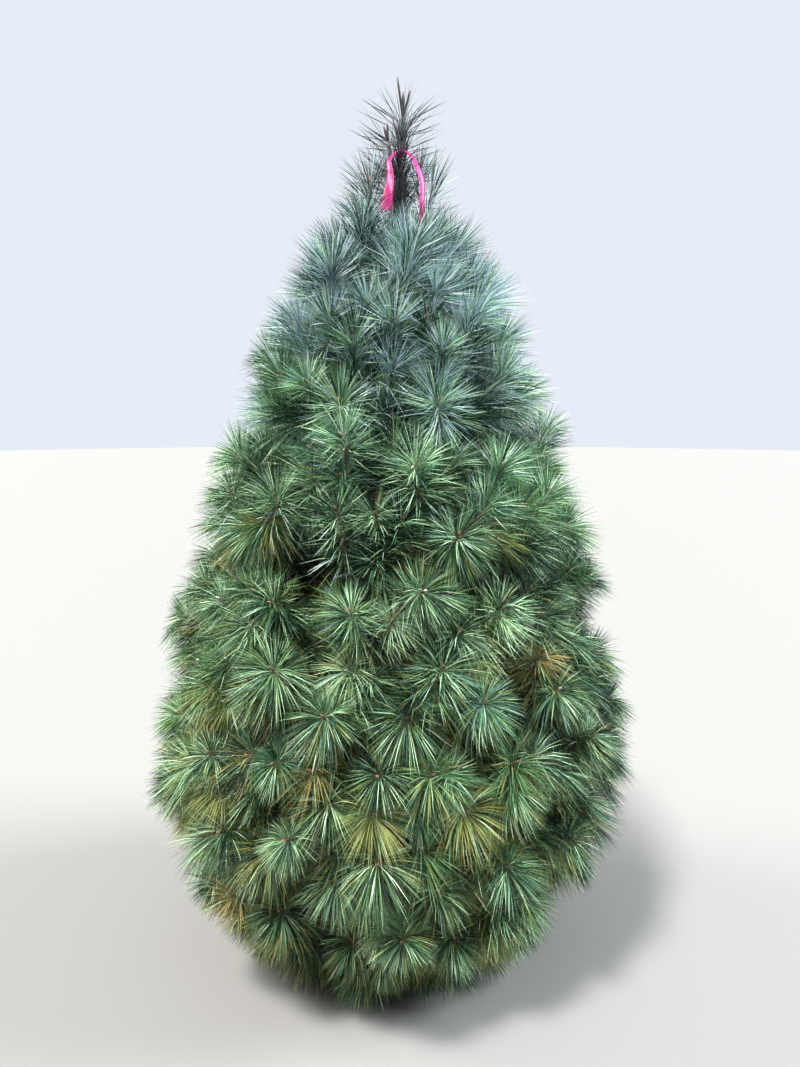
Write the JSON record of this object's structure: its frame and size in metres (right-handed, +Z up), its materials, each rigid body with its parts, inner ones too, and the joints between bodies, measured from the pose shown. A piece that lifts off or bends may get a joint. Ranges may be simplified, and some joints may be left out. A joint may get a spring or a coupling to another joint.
{
  "type": "pine tree",
  "caption": "Sheared pine tree with a full, egg-shaped crown of long soft needles in masses round one straight trunk and a spiky leader on top, rooted in level ground.",
  "frame": {"origin": "middle of the flat cut under the trunk, at ground level", "axes": "+Z up along the trunk, -Y towards the viewer, +X to the viewer's right"},
  "size_m": [1.3992, 1.3917, 2.4047],
  "materials": {
    "bark": "rough grey-brown bark",
    "needles_low": "satin needles, green with yellow and gold older ones",
    "needles_middle": "satin green needles",
    "needles_upper": "satin blue-green needles",
    "needles_top": "satin blue-green needles with pale stripes"
  },
  "bodies": {
    "root": {"trunk": "bark", "bough_1_1": "bark", "foliage_1_1": "needles_low", "bough_1_2": "bark", "foliage_1_2": "needles_low", "bough_1_3": "bark", "foliage_1_3": "needles_low", "bough_1_4": "bark", "foliage_1_4": "needles_low", "bough_1_5": "bark", "foliage_1_5": "needles_low", "bough_1_6": "bark", "foliage_1_6": "needles_low", "bough_2_1": "bark", "foliage_2_1": "needles_middle", "bough_2_2": "bark", "foliage_2_2": "needles_middle", "bough_2_3": "bark", "foliage_2_3": "needles_middle", "bough_2_4": "bark", "foliage_2_4": "needles_middle", "bough_2_5": "bark", "foliage_2_5": "needles_middle", "bough_2_6": "bark", "foliage_2_6": "needles_middle", "bough_3_1": "bark", "foliage_3_1": "needles_upper", "bough_3_2": "bark", "foliage_3_2": "needles_upper", "bough_3_3": "bark", "foliage_3_3": "needles_upper", "bough_3_4": "bark", "foliage_3_4": "needles_upper", "bough_3_5": "bark", "foliage_3_5": "needles_upper", "bough_3_6": "bark", "foliage_3_6": "needles_upper", "bough_4_1": "bark", "foliage_4_1": "needles_top", "bough_4_2": "bark", "foliage_4_2": "needles_top", "bough_4_3": "bark", "foliage_4_3": "needles_top", "bough_4_4": "bark", "foliage_4_4": "needles_top", "bough_4_5": "bark", "foliage_4_5": "needles_top", "foliage_5_1": "needles_top", "foliage_5_2": "needles_top", "foliage_5_3": "needles_top", "foliage_5_4": "needles_top", "foliage_6_1": "needles_top", "foliage_6_2": "needles_top", "foliage_6_3": "needles_top", "foliage_6_4": "needles_top", "foliage_leader": "needles_top"}
  },
  "joints": []
}
